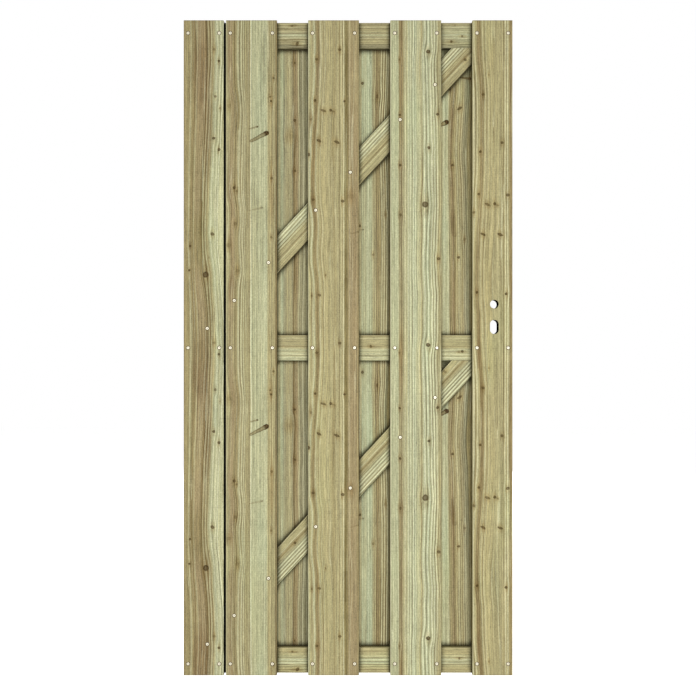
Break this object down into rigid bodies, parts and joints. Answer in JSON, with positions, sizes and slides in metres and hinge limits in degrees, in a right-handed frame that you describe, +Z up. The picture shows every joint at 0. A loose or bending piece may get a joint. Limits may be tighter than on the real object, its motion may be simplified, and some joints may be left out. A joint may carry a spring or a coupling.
{
  "type": "boarded wooden garden gate leaf",
  "caption": "Full-height garden gate leaf of planed pine boards fixed on both faces of three rails, braces and a lock stile, with a spindle hole and a cylinder slot.",
  "frame": {"origin": "seat of the lower hinge: on the rear face of the rear board beside the hinge edge, on that board's centre line, level with the middle of the bottom rail", "axes": "+Z up along the boards, +X across the leaf from the hinge side to the lock side, +Y out of the rear face, so the front face looks along -Y"},
  "size_m": [0.904, 0.048, 1.8],
  "materials": {
    "boards": "planed, pressure treated",
    "battens": "planed, pressure treated"
  },
  "bodies": {
    "root": {"front_board_hinge": "boards", "front_board_1": "boards", "front_board_2": "boards", "front_board_3": "boards", "front_board_lock": "boards", "rear_board_1": "boards", "rear_board_2": "boards", "rear_board_3": "boards", "rear_board_4": "boards", "bottom_rail": "battens", "middle_rail": "battens", "top_rail": "battens", "lower_lock_stile": "battens", "upper_lock_stile": "battens", "lower_brace": "battens", "upper_brace": "battens"}
  },
  "joints": []
}
